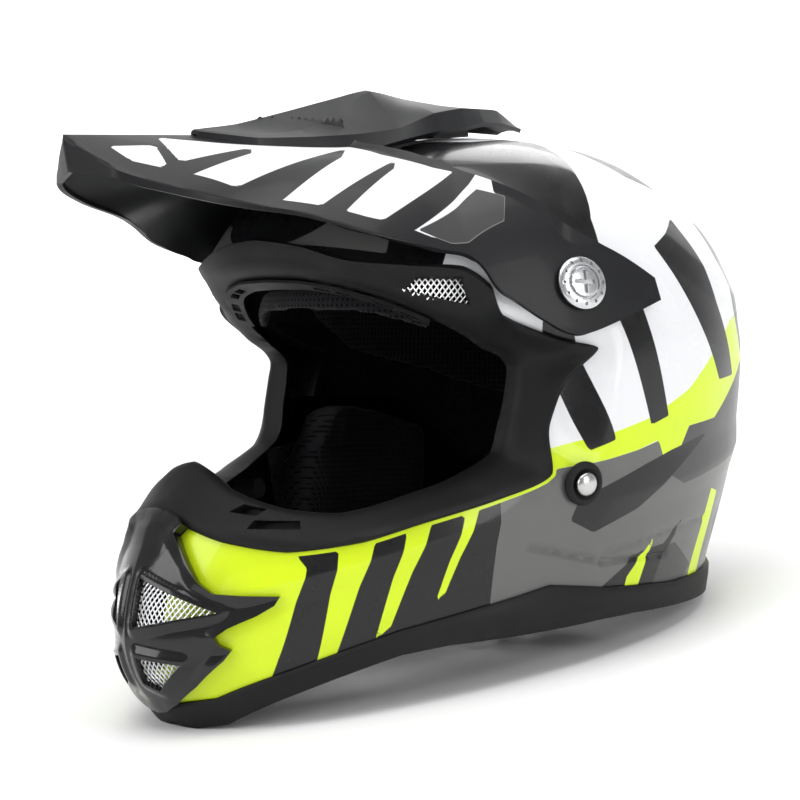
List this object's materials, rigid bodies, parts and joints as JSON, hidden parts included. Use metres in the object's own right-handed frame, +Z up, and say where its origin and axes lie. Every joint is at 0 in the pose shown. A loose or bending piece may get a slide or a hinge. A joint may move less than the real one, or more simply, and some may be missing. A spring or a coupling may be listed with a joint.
{
  "type": "motocross helmet",
  "caption": "Full-face off-road helmet with a chin bar, a wide eyeport, a tilting peak, side screws, vents, padding and a chin strap that fastens with rings.",
  "frame": {"origin": "middle of the whole part's box, on the surface it stands on", "axes": "+Z up, face towards -Y, the wearer's left side at +X"},
  "size_m": [0.2512, 0.3616, 0.268],
  "materials": {
    "shell_paint": "clear-coated paint, white, black, grey and yellow-green panels",
    "crush_foam": "black expanded polystyrene",
    "trim_rubber": "matt black moulded rubber",
    "gloss_black": "gloss black moulded plastic",
    "woven_mesh": "bright woven wire",
    "filter_foam": "open-cell foam",
    "pad_fabric": "black perforated knit over foam",
    "snap_plastic": "moulded black plastic",
    "peak_plastic": "satin moulded plastic with white panels",
    "screw_aluminium": "machined and brushed",
    "steel": "plated steel",
    "webbing": "woven polyester webbing"
  },
  "bodies": {
    "helmet": {"outer_shell": "shell_paint", "eps_liner": "crush_foam", "chin_liner_left": "crush_foam", "chin_liner_right": "crush_foam", "eyeport_trim": "trim_rubber", "neck_trim": "trim_rubber", "mouth_vent_cover": "gloss_black", "mouth_mesh_upper_left": "woven_mesh", "mouth_mesh_upper_right": "woven_mesh", "mouth_mesh_lower_left": "woven_mesh", "mouth_mesh_lower_right": "woven_mesh", "mouth_filter": "filter_foam", "brow_vent_mesh_left": "woven_mesh", "brow_vent_mesh_right": "woven_mesh", "brow_duct_strip": "trim_rubber", "crown_pad": "pad_fabric", "brow_pad": "pad_fabric", "cheek_pad_left": "pad_fabric", "cheek_pad_right": "pad_fabric", "cheek_snap_front_left": "snap_plastic", "cheek_snap_front_right": "snap_plastic", "cheek_snap_rear_left": "snap_plastic", "cheek_snap_rear_right": "snap_plastic", "chin_pad": "pad_fabric", "neck_roll": "pad_fabric", "peak_centre_bracket": "snap_plastic", "screw_insert_left": "steel", "screw_insert_right": "steel", "rivet_washer_left": "trim_rubber", "rivet_washer_right": "trim_rubber", "strap_rivet_left": "steel", "strap_rivet_right": "steel"},
    "peak": {"peak": "peak_plastic", "peak_crest": "peak_plastic"},
    "peak_screw_left": {"peak_screw_left": "screw_aluminium"},
    "peak_screw_right": {"peak_screw_right": "screw_aluminium"},
    "chin_strap": {"strap_anchor_left": "steel", "strap_anchor_right": "steel", "chin_strap_short": "webbing", "chin_strap_long": "webbing", "d_ring_upper": "steel", "d_ring_lower": "steel", "strap_snap": "steel"}
  },
  "joints": [
    {"name": "peak_tilt", "type": "hinge", "parent": "helmet", "child": "peak", "pos_m": [0, 0.00697, 0.16998], "axis": [-1, 0, 0], "range_deg": [-6, 2]},
    {"name": "peak_screw_left_turn", "type": "hinge", "parent": "helmet", "child": "peak_screw_left", "pos_m": [0.11884, 0.00579, 0.17188], "axis": [0.9486, -0.1669, 0.2689], "continuous": true},
    {"name": "peak_screw_right_turn", "type": "hinge", "parent": "helmet", "child": "peak_screw_right", "pos_m": [-0.11884, 0.00579, 0.17188], "axis": [-0.9486, -0.1669, 0.2689], "continuous": true},
    {"name": "chin_strap_swing", "type": "hinge", "parent": "helmet", "child": "chin_strap", "pos_m": [0, -0.00375, 0.08356], "axis": [1, 0, 0], "range_deg": [-15, 15]}
  ]
}
